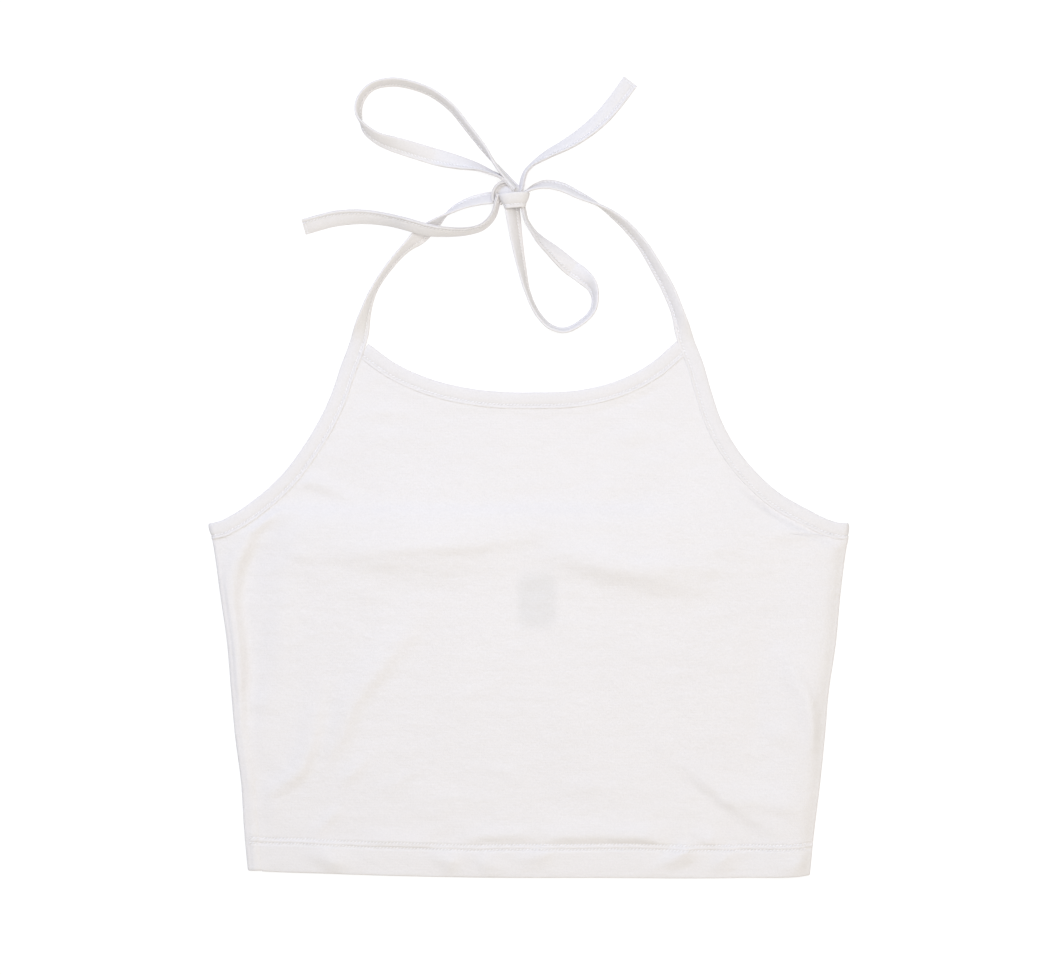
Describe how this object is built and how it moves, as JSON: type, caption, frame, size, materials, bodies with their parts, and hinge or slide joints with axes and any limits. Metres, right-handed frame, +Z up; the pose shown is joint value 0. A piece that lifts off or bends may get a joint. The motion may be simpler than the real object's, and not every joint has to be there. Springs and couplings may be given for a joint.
{
  "type": "halter neck crop top",
  "caption": "White cotton-jersey halter-neck crop top laid flat: scooped bib, straight hem, bound edges and neck straps tied in a bow.",
  "frame": {"origin": "on the surface the garment lies on, under the middle of its outline", "axes": "+X across the garment towards the picture's right, +Y up the garment from the hem to the neck straps, +Z up from the surface"},
  "size_m": [0.4033, 0.5056, 0.0182],
  "materials": {
    "jersey": "matte white single jersey, fine ribs of stitches",
    "binding": "matte white folded jersey tape, topstitched along one edge"
  },
  "bodies": {
    "root": {"front": "jersey", "back": "jersey", "neck_binding": "binding", "back_binding": "binding", "armhole_binding_left": "binding", "armhole_binding_right": "binding", "strap_left": "binding", "strap_right": "binding", "tail_left": "binding", "tail_right": "binding", "loop_upper_left": "binding", "loop_lower_right": "binding", "knot_arc": "binding", "knot_band": "binding", "knot_turn": "binding"}
  },
  "joints": []
}
